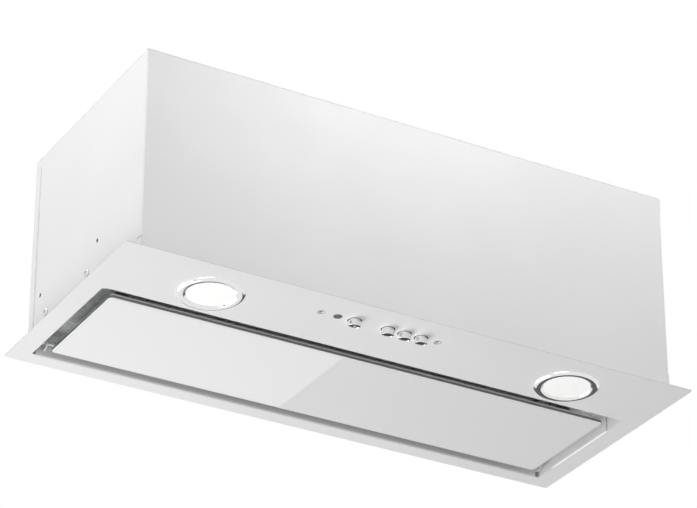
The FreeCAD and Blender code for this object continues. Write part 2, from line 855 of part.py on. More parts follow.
def lamps():
    """Two round lamps, pushed up through the rim and each held by two spring clips."""
    under = "-rim_thick"
    bezel = (
        ("lens_radius", under),
        ("lens_radius + bezel_inner", f"{under} - bezel_drop"),
        ("lamp_radius - bezel_outer", f"{under} - bezel_drop"),
        ("lamp_radius", under),
    )
    lens = (
        ("0", under),
        ("lens_rest", under),
        ("lens_rest", f"{under} + lens_thick"),
        ("0", f"{under} + lens_thick"),
    )
    housing = (
        ("0", f"{under} + lens_thick"),
        ("housing_radius", f"{under} + lens_thick"),
        ("housing_radius", "lamp_depth"),
        ("0", "lamp_depth"),
    )
    centres = [(f"{sign} * lamp_spread / 2", "lamp_mid", "0") for _, sign in SIDES]
    profiles = {"lamp_bezels": bezel, "lamp_lenses": lens, "lamp_housings": housing}
    for label, profile in profiles.items():
        sub_part(label, group(*[turned(profile, centre) for centre in centres]))
    clips = [lamp_clip(centre[0], way) for centre in centres for _, way in SIDES]
    sub_part("lamp_clips", group(*clips))


def lamp_clip(centre, way):
    """Leaf that stands out of the housing, with its leg bent down on the rim's inner side."""
    near = f"{centre} + {way} * housing_radius"
    far = f"{centre} + {way} * (lamp_hole + clip_reach)"
    inside = f"{far} - {way} * sheet_thick"
    y = ("lamp_mid - clip_wide / 2", "lamp_mid + clip_wide / 2")
    top = ("lamp_depth / 2", "lamp_depth / 2 + sheet_thick")
    leaf = block(sorted((near, far), key=value), y, top)
    leg = block(sorted((inside, far), key=value), y, (INNER_LEVEL, top[1]))
    return fuse(leaf, leg)


# Push buttons ----------------------------------------------------------------------------------


def button(label):
    """Round cap that slides in its switch, cut at a slant so that its front stands out most."""
    low = "-rim_thick - button_drop"
    cap = rod("button_radius", "z", (BUTTON_X[label], "button_row"), (low, "button_top"))
    x = (f"{BUTTON_X[label]} - button_hole", f"{BUTTON_X[label]} + button_hole")
    front = "button_row - button_radius"
    slant = block(x, (front, "button_row + 2 * button_radius"), (f"{low} - button_drop", low))
    slant.Placement.Rotation = FreeCAD.Rotation(V(1, 0, 0), value("button_slant"))
    bind(slant, "Placement.Base.y", f"{front} + button_drop * sin(button_slant * 1deg)")
    bind(slant, "Placement.Base.z", f"{low} - button_drop * cos(button_slant * 1deg)")
    return sub_part(label, cut(cap, slant))


def switch_block():
    """Housing of the four switches, on two feet, with a blind bore for each cap."""
    x = ("button_first - switch_margin", "button_first + 4 * button_pitch + switch_margin")
    y = ("button_row - switch_wide / 2", "button_row + switch_wide / 2")
    body = block(x, y, ("switch_low", "switch_high"))
    feet = [block((x[0], f"{x[0]} + switch_foot"), y, (BRACKET_TOP, "switch_low"))]
    feet.append(block((f"{x[1]} - switch_foot", x[1]), y, (BRACKET_TOP, "switch_low")))
    bore_z = ("switch_low - 1", "button_top + button_travel + 1")
    radius = "button_radius + pin_clearance"
    bores = [rod(radius, "z", (place, "button_row"), bore_z) for place in BUTTON_X.values()]
    return sub_part("switch_block", cut(fuse(body, *feet), *bores))


def switch_bracket():
    """Frame on the rim's inner side that takes the two row screws and carries the switches."""
    z = (INNER_LEVEL, BRACKET_TOP)
    plate_x = (f"{ROW_SCREWS_X[0]} - bracket_margin", f"{ROW_SCREWS_X[1]} + bracket_margin")
    plate = block(plate_x, ("button_row - bracket_reach", "button_row + bracket_reach"), z)
    window_x = (f"{INDICATOR_X} - window_margin", "button_first + 4 * button_pitch + window_margin")
    window_y = ("button_row - window_reach", "button_row + window_reach")
    through = ("-rim_thick", "2 * bracket_thick")
    window = block(window_x, window_y, through)
    bores = [rod("row_screw_neck", "z", (place, "button_row"), through) for place in ROW_SCREWS_X]
    return sub_part("switch_bracket", cut(plate, window, *bores))


def indicator_lens():
    """Small round window beside the buttons, pressed into the rim."""
    span = ("-rim_thick - indicator_proud", BRACKET_TOP)
    return sub_part("indicator_lens", rod("indicator_radius", "z", (INDICATOR_X, "button_row"), span))


def row_screws():
    """Two countersunk screws, whose heads lie level with the rim."""
    profile = (
        ("0", "-rim_thick"),
        ("row_screw_radius", "-rim_thick"),
        ("row_screw_radius - row_screw_slope", INNER_LEVEL),
        ("row_screw_neck", INNER_LEVEL),
        ("row_screw_neck", BRACKET_TOP),
        ("0", BRACKET_TOP),
    )
    pair = [turned(profile, (place, "button_row", "0")) for place in ROW_SCREWS_X]
    return sub_part("row_screws", group(*pair))


# Filter and its tray ---------------------------------------------------------------------------

FILTER_X = ("-filter_wide / 2", "filter_wide / 2")
FILTER_Y = ("filter_mid - filter_deep / 2", "filter_mid + filter_deep / 2")
FILTER_Z = ("filter_low", "filter_low + filter_tall")
LATCH_SLOT_X = ("-tongue_half - latch_play", "tongue_half + latch_play")
TONGUE_Z = ("filter_low + tongue_low", "filter_low + tongue_low + tongue_thick")


def inset(span, by):
    """A span made smaller at both ends."""
    return (f"{span[0]} + ({by})", f"{span[1]} - ({by})")


def filter_tray():
    """Sheet tray on the folded walls, with a raised seat that the filter is pushed up against."""
    seat = (FILTER_Z[1], f"{FILTER_Z[1]} + sheet_thick")
    pocket = (inset(FILTER_X, "-filter_gap"), inset(FILTER_Y, "-filter_gap"))
    ring = [inset(span, "-sheet_thick") for span in pocket]
    flat = block(
        ("-opening_wide / 2", "opening_wide / 2"),
        ("tray_mid - tray_deep / 2", "tray_mid + tray_deep / 2"),
        ("wall_tall", "wall_tall + sheet_thick"),
    )
    crown = block(ring[0], ring[1], ("wall_tall", seat[1]))
    hollow = block(pocket[0], pocket[1], ("wall_tall - 1", seat[0]))
    opening = [inset(span, "seat_deep") for span in pocket]
    window = block(opening[0], opening[1], ("wall_tall", f"{seat[1]} + 1"))
    slot_y = (f"{ring[1][0]} - 1", f"{pocket[1][0]} + 1")
    slot = block(LATCH_SLOT_X, slot_y, inset(TONGUE_Z, "-0.7"))
    return sub_part("filter_tray", cut(fuse(flat, crown), hollow, window, slot))


def filter_frame():
    """Channel section round the mesh, with the slots that the latch works in."""
    outer = block(FILTER_X, FILTER_Y, FILTER_Z)
    inner = [inset(span, "filter_skin") for span in (FILTER_X, FILTER_Y, FILTER_Z)]
    window = [inset(span, "filter_border") for span in (FILTER_X, FILTER_Y)]
    stem_x = ("-stem_half - latch_play", "stem_half + latch_play")
    stem_y = (f"{FILTER_Y[0]} + filter_skin", window[1][0])
    tongue_y = (f"{FILTER_Y[0]} - 1", f"{FILTER_Y[0]} + 1")
    tools = [
        block(*inner),
        block(window[0], window[1], inset(FILTER_Z, "-1")),
        block(stem_x, stem_y, ("filter_low - 1", "filter_low + 1")),
        block(LATCH_SLOT_X, tongue_y, inset(TONGUE_Z, "-0.3")),
    ]
    return sub_part("filter_frame", cut(outer, *tools))


def filter_mesh():
    """Pack of expanded metal layers, held by the frame's lips."""
    x, y = (inset(span, "filter_lip") for span in (FILTER_X, FILTER_Y))
    return sub_part("filter_mesh", block(x, y, inset(FILTER_Z, "filter_skin")))


def filter_latch():
    """Sliding latch at the filter's front edge: tongue, stem and finger tab."""
    front = FILTER_Y[0]
    tab_z = ("filter_low - finger_drop", "filter_low - latch_play")
    root = f"{front} + tongue_in"
    tongue = block(("-tongue_half", "tongue_half"), (f"{front} - tongue_out", root), TONGUE_Z)
    stem = block(("-stem_half", "stem_half"), (f"{root} - stem_thick", root), (tab_z[1], TONGUE_Z[0]))
    tab_y = (f"{front} + finger_near", f"{front} + finger_far")
    tab = block(("-finger_half", "finger_half"), tab_y, tab_z)
    far = value(tab_y[1])

    def is_far_corner(edge):
        return runs_along(edge, V(0, 0, 1)) and abs(middle(edge).y - far) < 1e-3

    tab = rounded(tab, "finger_corner", is_far_corner)
    return sub_part("filter_latch", fuse(tongue, stem, tab))


# Glass panel -----------------------------------------------------------------------------------

HINGE = ("hinge_back", "hinge_high")


def glass_panel():
    """Glass with round corners and ground edges."""
    x = ("-glass_wide / 2", "glass_wide / 2")
    y = ("glass_mid - glass_deep / 2", "glass_mid + glass_deep / 2")
    sheet = padded("XY_Plane", "-rim_thick", "glass_thick", rectangle(x, y))
    sheet = rounded(sheet, "glass_corner", lambda edge: runs_along(edge, V(0, 0, 1)))
    ground = chamfered(sheet, "glass_chamfer", lambda edge: edge.BoundBox.ZLength < 1e-6)
    return sub_part("glass_panel", ground)


CARRIER_X = ("-carrier_wide / 2", "carrier_wide / 2")
CARRIER_Y = ("glass_mid - carrier_deep / 2", "glass_mid + carrier_deep / 2")
GLASS_BACK = "glass_thick - rim_thick"
CARRIER_TOP = f"{GLASS_BACK} + carrier_tall"


def panel_carrier():
    """Folded tray glued to the back of the glass."""
    outer = block(CARRIER_X, CARRIER_Y, (GLASS_BACK, CARRIER_TOP))
    inner_z = (f"{GLASS_BACK} + sheet_thick", f"{CARRIER_TOP} + 1")
    inner = block(inset(CARRIER_X, "sheet_thick"), inset(CARRIER_Y, "sheet_thick"), inner_z)
    return sub_part("panel_carrier", cut(outer, inner))


def hinge_arm(sign):
    """Strap on the carrier's end with the pin riveted into it."""
    arm_x = across(sign, "carrier_wide / 2", "carrier_wide / 2 + hinge_plate")
    pin_x = across(sign, "carrier_wide / 2", "carrier_wide / 2 + hinge_reach + 2 * hinge_plate")
    strap_z = (f"{HINGE[1]} - strap_half", f"{HINGE[1]} + strap_half")
    strap = block(arm_x, (f"{HINGE[0]} - strap_long", HINGE[0]), strap_z)
    return fuse(strap, rod("strap_half", "x", HINGE, arm_x), rod("hinge_pin_radius", "x", HINGE, pin_x))


def hinge_bracket(sign):
    """Ear under the tray that the pin turns in."""
    start = "carrier_wide / 2 + hinge_reach"
    plate_x = across(sign, start, f"{start} + hinge_plate")
    foot_x = across(sign, start, "opening_wide / 2 - 1")
    plate_y = (f"{HINGE[0]} - ear_radius", f"{HINGE[0]} + ear_radius")
    plate = block(plate_x, plate_y, ("hinge_high", "wall_tall"))
    ear = rod("ear_radius", "x", HINGE, plate_x)
    foot = block(foot_x, plate_y, ("wall_tall - foot_thick", "wall_tall"))
    bore = rod("hinge_pin_radius + pin_clearance", "x", HINGE, plate_x)
    return cut(fuse(plate, ear, foot), bore)


def hinges():
    sub_part("hinge_arms", group(*[hinge_arm(sign) for _, sign in SIDES]))
    sub_part("hinge_brackets", group(*[hinge_bracket(sign) for _, sign in SIDES]))


def catches():
    """Magnets that hang from the tray, and the steel plates on the carrier that they hold."""
    y = ("magnet_mid - magnet_deep / 2", "magnet_mid + magnet_deep / 2")
    spans = [
        across(sign, "magnet_side - magnet_wide / 2", "magnet_side + magnet_wide / 2")
        for _, sign in SIDES
    ]
    magnet_z = (f"{CARRIER_TOP} + magnet_drop", "wall_tall")
    plate_z = (f"{GLASS_BACK} + sheet_thick", f"{CARRIER_TOP} + catch_rise")
    sub_part("catch_magnets", group(*[block(x, y, magnet_z) for x in spans]))
    sub_part("catch_plates", group(*[block(x, y, plate_z) for x in spans]))


# Side screws -----------------------------------------------------------------------------------


def side_screws():
    """Four round-head screws that hold the casing's sides to the frame's tabs."""
    profile = (
        ("0", "-side_screw_long"),
        ("side_screw_radius", "-side_screw_long"),
        ("side_screw_radius", "0"),
        ("side_screw_head", "0"),
        ("side_screw_head * side_screw_taper", "side_screw_tall"),
        ("0", "side_screw_tall"),
    )
    turned_screws = []
    for _, sign in SIDES:
        for place in SIDE_SCREWS_Y:
            spot = (f"{sign} * case_wide / 2", place, "side_screw_high")
            turned_screws.append(turned(profile, spot, (V(0, 1, 0), 90 * int(sign))))
    return sub_part("side_screws", group(*turned_screws))


# Assembly --------------------------------------------------------------------------------------

base_frame()
front_panel()
rear_panel()
for side, sign in SIDES:
    side_panel(f"{side}_side_panel", sign)
top_panel()
side_screws()
outlet_collar()
flap_pin()
outlet_flap("front_flap", "-1")
outlet_flap("rear_flap", "1")
for side, sign in SIDES:
    scroll_half(f"scroll_{side}", sign)
impeller()
motor_shaft()
motor()
motor_bracket()
for label, spot, box in BOXES:
    box_under_lid(label, spot, *box)
cable_gland()
lamps()
for label in BUTTON_X:
    button(label)
switch_block()
switch_bracket()
indicator_lens()
row_screws()
filter_tray()
filter_frame()
filter_mesh()
filter_latch()
glass_panel()
panel_carrier()
hinges()
catches()
doc.recompute()

# Every object must be sound before anything is written
for item in doc.Objects:
    if any(word in item.State for word in ("Invalid", "Error")):
        raise SystemExit(f"{item.Name} ({item.Label}) has failed: {item.State}")
os.makedirs("parts", exist_ok=True)
for item in SUB_PARTS:
    if item.Shape.isNull() or not item.Shape.isValid() or not item.Shape.Solids:
        raise SystemExit(f"{item.Label} has no sound shape")
    item.Shape.exportStep(f"parts/{item.Label}.step")
    print(f"{item.Label}: {len(item.Shape.Solids)} solid(s), {item.Shape.Volume / 1000:.1f} cm3")
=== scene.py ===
# %% [markdown]
# # A built-in range hood
#
# The hood is a white steel box that is pushed up into a cupboard. From the kitchen one sees its
# rim, with two lamps and a row of buttons, and a hinged glass panel that hides the grease
# filter. The steelwork comes finished from CAD and gets its paint and zinc here. What catches
# the eye from close by, such as ground glass, chrome, screws and mesh, is modelled here.

# %% The frame from CAD
import json
import math

import bpy
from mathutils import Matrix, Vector


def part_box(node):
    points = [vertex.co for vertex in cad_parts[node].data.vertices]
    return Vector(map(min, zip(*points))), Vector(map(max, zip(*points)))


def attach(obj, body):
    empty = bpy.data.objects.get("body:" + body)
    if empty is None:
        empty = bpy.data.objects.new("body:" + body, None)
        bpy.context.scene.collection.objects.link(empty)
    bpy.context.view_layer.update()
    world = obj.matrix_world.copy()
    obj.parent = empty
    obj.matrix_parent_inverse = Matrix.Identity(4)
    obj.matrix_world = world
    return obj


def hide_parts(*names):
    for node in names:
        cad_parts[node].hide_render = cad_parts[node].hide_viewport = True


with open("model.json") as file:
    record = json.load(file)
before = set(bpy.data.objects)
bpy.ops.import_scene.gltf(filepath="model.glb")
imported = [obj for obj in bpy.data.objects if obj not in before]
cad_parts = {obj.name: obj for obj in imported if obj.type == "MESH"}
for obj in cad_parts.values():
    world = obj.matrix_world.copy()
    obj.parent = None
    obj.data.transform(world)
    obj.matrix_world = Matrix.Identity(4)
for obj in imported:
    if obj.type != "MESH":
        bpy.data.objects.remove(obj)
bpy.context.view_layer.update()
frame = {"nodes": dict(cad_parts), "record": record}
nodes = frame["nodes"]
MM = 0.001

# %% [markdown]
# ## The photographer's place
#
# The hood is seen from below and from its left. Its maker's picture keeps the upright edges
# parallel, which a real camera does with a lens that is shifted far up. A shift that large
# would push the hood out of every other view, so the camera is simply tilted up, at the
# distance and angle that bring the rim's and the casing's corners nearest to the picture.

# %% Camera
PHOTO_WIDE = 697
FOCAL_PIXELS = 3205.2
SENSOR = 36
CAMERA_PLACE = (-1.5658, -2.7407, -1.5685)
HEADING = 0.5179
TILT = 0.4983
VIEW_REACH = 60
camera_data = bpy.data.cameras.new("camera")
camera = bpy.data.objects.new("camera", camera_data)
bpy.context.scene.collection.objects.link(camera)
bpy.context.scene.camera = camera
camera_data.sensor_width = SENSOR
camera_data.lens = FOCAL_PIXELS / PHOTO_WIDE * SENSOR
camera_data.clip_end = VIEW_REACH
camera.location = CAMERA_PLACE
camera.rotation_euler = (math.pi / 2 + TILT, 0, -HEADING)
print("lens", round(camera_data.lens, 1), "mm")

# %% [markdown]
# ## A studio round a hanging object
#
# The hood hangs well above the floor, as it would over a stove. The world is white where the
# camera, or a reflection, looks past the object, and a calm grey for the light that it gives.
# Soft lamps then shape the steel. Two stand low, on the left and at the rear, for the rim and
# the glass, and a weak one near the camera reaches into the gap round the panel. Two small ones
# near the top of the front and of the left side make the soft slope of brightness that large
# sheets show. The others keep the far sides from going grey.

# %% World
scene = bpy.context.scene
scene.view_settings.view_transform = "Standard"
AMBIENT = 0.2
SEEN_RAYS = ("Is Camera Ray", "Is Glossy Ray", "Is Transmission Ray")


def seen_directly(tree):
    """One where the camera, a mirror or a pane of glass looks at the surface, else nothing."""
    rays = tree.nodes.new("ShaderNodeLightPath")
    found = rays.outputs[SEEN_RAYS[0]]
    for kind in SEEN_RAYS[1:]:
        either = tree.nodes.new("ShaderNodeMath")
        either.operation = "MAXIMUM"
        tree.links.new(found, either.inputs[0])
        tree.links.new(rays.outputs[kind], either.inputs[1])
        found = either.outputs[0]
    return found


def make_world():
    """White where it is seen directly, and a grey light on everything else."""
    world = bpy.data.worlds.new("studio")
    world.use_nodes = True
    tree = world.node_tree
    tree.nodes.clear()
    choose = tree.nodes.new("ShaderNodeMixShader")
    tree.links.new(seen_directly(tree), choose.inputs[0])
    for socket, strength in zip(choose.inputs[1:], (AMBIENT, 1)):
        background = tree.nodes.new("ShaderNodeBackground")
        background.inputs["Color"].default_value = (1, 1, 1, 1)
        background.inputs["Strength"].default_value = strength
        tree.links.new(background.outputs[0], socket)
    out = tree.nodes.new("ShaderNodeOutputWorld")
    tree.links.new(choose.outputs[0], out.inputs["Surface"])
    scene.world = world


make_world()
print("world gives", AMBIENT)

# %% [markdown]
# Each lamp of the studio has its place, the point that it faces, its width in metres and its
# power in watts.

# %% Lamps of the studio
SOFTBOXES = {
    "low_left": ((-1.9, -1.3, -1.9), (-0.1, 0, 0), 1.6, 23),
    "low_rear": ((-0.9, 1.7, -1.9), (-0.1, 0, 0), 1.9, 57),
    "fill": ((-1.3, -2.3, -1.2), (0, 0, 0.1), 1.0, 8),
    "near_front": ((0.34, -0.8, 0.85), (0.14, -0.14, 0.22), 0.5, 6.5),
    "near_side": ((-1.0, -0.25, 0.8), (-0.33, -0.06, 0.22), 0.5, 6),
    "behind_left": ((-2.2, 1.9, 1.7), (-0.33, 0.05, 0.16), 1.4, 5),
    "behind_right": ((1.7, 1.5, 1.6), (0.2, 0.05, 0.16), 1.2, 9),
    "right": ((2.3, -0.4, 1.0), (0.33, 0, 0.12), 1.2, 6),
}


def softbox(name, place, target, size, power):
    """Square area lamp that faces a point."""
    data = bpy.data.lights.new(name, "AREA")
    data.shape = "RECTANGLE"
    data.size = data.size_y = size
    data.energy = power
    lamp = bpy.data.objects.new(name, data)
    lamp.location = place
    towards = Vector(target) - Vector(place)
    lamp.rotation_euler = towards.to_track_quat("-Z", "Y").to_euler()
    lamp.visible_camera = False
    scene.collection.objects.link(lamp)


for name, settings in SOFTBOXES.items():
    softbox(name, *settings)
print("lamps", list(SOFTBOXES))

# %% [markdown]
# The floor is pale and matt and lies far below, so it takes only a faint shadow. It reaches
# wide enough to stay under the hood in every view, and it looks nearly white in a mirror.
#
# Everything white would leave chrome and glass without a shape. A photographer sets up dark
# cards for that, and so do two grey ones here. Only reflections see them, so they take no light
# away. The one behind on the right draws the slanting edge across the glass panel.

# %% Floor and cards
FLOOR_DROP = 6.5
FLOOR_RADIUS = 20
CARDS = {
    "card_right": ((1.31, 1.5, -0.295), (90, 45, 0), (1.8, 1.5)),
    "card_left": ((-0.62, 0.66, -1.2), (0, 0, 0), (0.3, 0.8)),
}


def start(add, **settings):
    """Adds a primitive with nothing else selected."""
    bpy.ops.object.select_all(action="DESELECT")
    add(**settings)
    return bpy.context.object


floor = start(
    bpy.ops.mesh.primitive_circle_add,
    vertices=96,
    radius=FLOOR_RADIUS,
    fill_type="NGON",
)
floor.location.z = -FLOOR_DROP
floor.name = "floor"


def card(name, place, turn, size):
    """Flat card that only reflections see."""
    made = start(bpy.ops.mesh.primitive_plane_add, size=1, location=place)
    made.rotation_euler = [math.radians(angle) for angle in turn]
    made.scale = (*size, 1)
    made.name = name
    made.visible_camera = False
    made.visible_diffuse = False
    made.visible_shadow = False
    made.visible_transmission = False
    return made


cards = [card(name, *settings) for name, settings in CARDS.items()]
print("cards", [made.name for made in cards])

# %% [markdown]
# ## Finishes
#
# Each finish starts from the Principled shader and gets a pattern in the object's own
# coordinates, whose unit is the metre: a scale of 900 gives marks about a millimetre wide.
# A small kit keeps the finishes short: `noise` makes a pattern, `blend` turns it into a colour
# or a roughness, and `bump` into relief.

# %% Kit for finishes
def finish(name, colour, roughness, metallic=0.0):
    """New material and its Principled shader."""
    made = bpy.data.materials.new(name)
    made.use_nodes = True
    shader = made.node_tree.nodes["Principled BSDF"]
    shader.inputs["Base Color"].default_value = (*colour, 1)
    shader.inputs["Roughness"].default_value = roughness
    shader.inputs["Metallic"].default_value = metallic
    return made, shader


def place_of(made, stretch=(1, 1, 1)):
    """The object's own coordinates, stretched where the marks are longer one way."""
    tree = made.node_tree
    coordinates = tree.nodes.new("ShaderNodeTexCoord")
    mapping = tree.nodes.new("ShaderNodeMapping")
    mapping.inputs["Scale"].default_value = stretch
    tree.links.new(coordinates.outputs["Object"], mapping.inputs["Vector"])
    return mapping.outputs["Vector"]


def noise(made, scale, detail=2.0, stretch=(1, 1, 1)):
    """Cloudy pattern, finer with a larger scale."""
    pattern = made.node_tree.nodes.new("ShaderNodeTexNoise")
    pattern.inputs["Scale"].default_value = scale
    pattern.inputs["Detail"].default_value = detail
    made.node_tree.links.new(place_of(made, stretch), pattern.inputs["Vector"])
    return pattern.outputs["Fac"]


def blend(made, source, low, high, socket, span=(0.3, 0.7)):
    """Spreads a pattern between two greys or two colours and feeds a socket with it."""
    ramp = made.node_tree.nodes.new("ShaderNodeValToRGB")
    ends = [(value,) * 3 if isinstance(value, float) else value for value in (low, high)]
    for element, place, colour in zip(ramp.color_ramp.elements, span, ends):
        element.position = place
        element.color = (*colour, 1)
    made.node_tree.links.new(source, ramp.inputs["Fac"])
    made.node_tree.links.new(ramp.outputs["Color"], socket)
    return ramp


def bump(made, shader, source, depth):
    """Relief of a depth in metres."""
    relief = made.node_tree.nodes.new("ShaderNodeBump")
    relief.inputs["Distance"].default_value = depth
    made.node_tree.links.new(source, relief.inputs["Height"])
    made.node_tree.links.new(relief.outputs["Normal"], shader.inputs["Normal"])
    return relief


# %% [markdown]
# ### White powder coat
#
# Powder melts into a tough skin with a faint orange peel. The waves are about a millimetre
# long and a few microns high: enough to soften a reflection, too little to be seen as dots.
#
# A thin grey line is painted along every sharp edge: painted shade for the narrow edge faces of
# the sheet. The Bevel node finds such places: it gives the normal of a rounded copy of the
# shape, and where that differs from the true one, an edge is near. The rounded normal also
# makes the folds shine softly.
#
# The seats that are pressed round the row's two screws are painted grey: painted shade round
# the screws.

# %% Powder coat
EDGE_ROUND = 0.7 * MM
PEEL_DEPTH = 0.01 * MM
EDGE_SHADE_GREY = (0.6, 0.6, 0.6, 1)
white_paint, shader = finish("white_paint", (0.83, 0.83, 0.83), 0.36)
paint_tree = white_paint.node_tree
clouds = blend(white_paint, noise(white_paint, 6, 3), (0.815, 0.815, 0.817),
               (0.845, 0.845, 0.845), shader.inputs["Base Color"])
blend(white_paint, noise(white_paint, 40, 4), 0.33, 0.4, shader.inputs["Roughness"])
peel = bump(white_paint, shader, noise(white_paint, 700, 2), PEEL_DEPTH)
eased = paint_tree.nodes.new("ShaderNodeBevel")
eased.inputs["Radius"].default_value = EDGE_ROUND
paint_tree.links.new(eased.outputs["Normal"], peel.inputs["Normal"])
true_normal = paint_tree.nodes.new("ShaderNodeNewGeometry")
edge_shade_mask = paint_tree.nodes.new("ShaderNodeVectorMath")
edge_shade_mask.operation = "DOT_PRODUCT"
paint_tree.links.new(eased.outputs["Normal"], edge_shade_mask.inputs[0])
paint_tree.links.new(true_normal.outputs["Normal"], edge_shade_mask.inputs[1])
# Painted shade: near every sharp edge the colour is mixed towards grey.
edge_shade = paint_tree.nodes.new("ShaderNodeMix")
edge_shade.data_type = "RGBA"
edge_shade.inputs["A"].default_value = EDGE_SHADE_GREY
paint_tree.links.new(clouds.outputs["Color"], edge_shade.inputs["B"])
blend(white_paint, edge_shade_mask.outputs["Value"], 0.0, 1.0, edge_shade.inputs["Factor"], (0.8, 0.97))
paint_tree.links.new(edge_shade.outputs["Result"], shader.inputs["Base Color"])
# Painted shade: the pressed seats round the row screws are grey.
seat_shade_paint, shader = finish("seat_shade_paint", (0.5, 0.5, 0.5), 0.45)
blend(seat_shade_paint, noise(seat_shade_paint, 800, 2), (0.47, 0.47, 0.47), (0.53, 0.53, 0.53),
      shader.inputs["Base Color"])
print("white paint nodes", len(paint_tree.nodes))

# %% [markdown]
# ### Zinc-coated sheet
#
# Hidden sheet is galvanised. Zinc cools in crystals a few millimetres wide, each with its own
# shine, which a Voronoi pattern gives. The plain zinc of screws and clips has no crystals.

# %% Zinc and steel
CRYSTAL_SCALE = 160
STEEL_GRAIN = 0.008 * MM
galvanised, shader = finish("galvanised", (0.62, 0.63, 0.64), 0.42, 0.6)
crystals = galvanised.node_tree.nodes.new("ShaderNodeTexVoronoi")
crystals.inputs["Scale"].default_value = CRYSTAL_SCALE
galvanised.node_tree.links.new(place_of(galvanised), crystals.inputs["Vector"])
blend(galvanised, crystals.outputs["Color"], (0.55, 0.56, 0.57), (0.7, 0.71, 0.72),
      shader.inputs["Base Color"])
blend(galvanised, noise(galvanised, 90, 5), 0.34, 0.52, shader.inputs["Roughness"])

steel, shader = finish("steel", (0.62, 0.62, 0.63), 0.3, 1.0)
blend(steel, noise(steel, 500, 4), 0.24, 0.42, shader.inputs["Roughness"])
bump(steel, shader, noise(steel, 2500, 2), STEEL_GRAIN)

motor_steel, shader = finish("motor_steel", (0.42, 0.42, 0.43), 0.4, 0.9)
blend(motor_steel, noise(motor_steel, 60, 5, (0.1, 1, 1)), 0.32, 0.5,
      shader.inputs["Roughness"])

# %% [markdown]
# ### Chrome
#
# Chrome is a mirror, so it needs little but a trace of unevenness in its gloss. The buttons'
# ends are painted a darker satin chrome: a painted reflection of dark surroundings.

# %% Chrome
chrome, shader = finish("chrome", (0.8, 0.8, 0.81), 0.08, 1.0)
blend(chrome, noise(chrome, 300, 3), 0.05, 0.12, shader.inputs["Roughness"])
# Painted reflection: dark chrome for the buttons' ends, for dark surroundings mirrored there.
dark_reflection_chrome, shader = finish("dark_reflection_chrome", (0.15, 0.15, 0.155), 0.25, 1.0)
blend(dark_reflection_chrome, noise(dark_reflection_chrome, 900, 3), 0.2, 0.34, shader.inputs["Roughness"])

# %% [markdown]
# ### Glass
#
# The panel is clear glass with white enamel on its back. Seen from the front it is a white
# surface under a perfect gloss. The enamel stops short of the ground edge. That edge is painted
# dark grey, partly for the depth of the clear glass there and mostly as painted shade for the
# gap round the panel, where it lies. The narrow arris between the two shines.
#
# The lamps' lenses are frosted and glow, because the lamps are lit.

# %% Glass finishes
GLASS_IOR = 1.52
white_glass, shader = finish("white_glass", (0.86, 0.865, 0.86), 0.02)
blend(white_glass, noise(white_glass, 3, 2), (0.855, 0.86, 0.857), (0.868, 0.87, 0.868),
      shader.inputs["Base Color"])
shader.inputs["IOR"].default_value = GLASS_IOR
enamel_end, shader = finish("enamel_end", (0.78, 0.785, 0.78), 0.03)
blend(enamel_end, noise(enamel_end, 400, 2), (0.775, 0.78, 0.777), (0.79, 0.793, 0.79),
      shader.inputs["Base Color"])
shader.inputs["IOR"].default_value = GLASS_IOR
glass_arris, shader = finish("glass_arris", (0.88, 0.9, 0.89), 0.15)
blend(glass_arris, noise(glass_arris, 900, 3), 0.1, 0.22, shader.inputs["Roughness"])
# Painted shade: the ground edge is dark grey, for the shade in the gap round the panel.
shaded_glass_edge, shader = finish("shaded_glass_edge", (0.2, 0.215, 0.21), 0.35)
blend(shaded_glass_edge, noise(shaded_glass_edge, 900, 3, (0.1, 0.1, 1)), (0.17, 0.183, 0.178),
      (0.22, 0.235, 0.23), shader.inputs["Base Color"])

LENS_GLOW = 0.51
lamp_lens, shader = finish("lamp_lens", (0.5, 0.5, 0.495), 0.3)
blend(lamp_lens, noise(lamp_lens, 250, 2), 0.22, 0.4, shader.inputs["Roughness"])
shader.inputs["Emission Color"].default_value = (1, 0.99, 0.97, 1)
shader.inputs["Emission Strength"].default_value = LENS_GLOW

# %% [markdown]
# ### Plastics and the rest
#
# Moulded housings have a spark-eroded grain. The mesh is aluminium, the indicator is smoked
# plastic, and the magnets are ferrite in a dull steel cup.

# %% Plastics, mesh and magnets
PLASTIC_GRAIN = 0.02 * MM
dark_plastic, shader = finish("dark_plastic", (0.03, 0.03, 0.032), 0.5)
blend(dark_plastic, noise(dark_plastic, 1200, 3), 0.42, 0.62, shader.inputs["Roughness"])
bump(dark_plastic, shader, noise(dark_plastic, 1600, 2), PLASTIC_GRAIN)

grey_plastic, shader = finish("grey_plastic", (0.2, 0.205, 0.21), 0.5)
blend(grey_plastic, noise(grey_plastic, 15, 4), (0.19, 0.195, 0.2), (0.215, 0.22, 0.225),
      shader.inputs["Base Color"])
bump(grey_plastic, shader, noise(grey_plastic, 1300, 2), PLASTIC_GRAIN)

mesh_metal, shader = finish("mesh", (0.72, 0.73, 0.74), 0.4, 0.7)
blend(mesh_metal, noise(mesh_metal, 200, 4), 0.28, 0.5, shader.inputs["Roughness"])

indicator, shader = finish("indicator", (0.09, 0.088, 0.088), 0.18)
blend(indicator, noise(indicator, 700, 2), 0.14, 0.24, shader.inputs["Roughness"])

magnet, shader = finish("magnet", (0.1, 0.1, 0.105), 0.55, 0.3)
blend(magnet, noise(magnet, 900, 3), (0.07, 0.07, 0.075), (0.13, 0.13, 0.135),
      shader.inputs["Base Color"])

# %% [markdown]
# ### Floor and cards
#
# The floor is lit by the lamps as any surface is, so it keeps the shadow. A little light of its
# own, which only the camera and mirrors see, lifts it to nearly white.

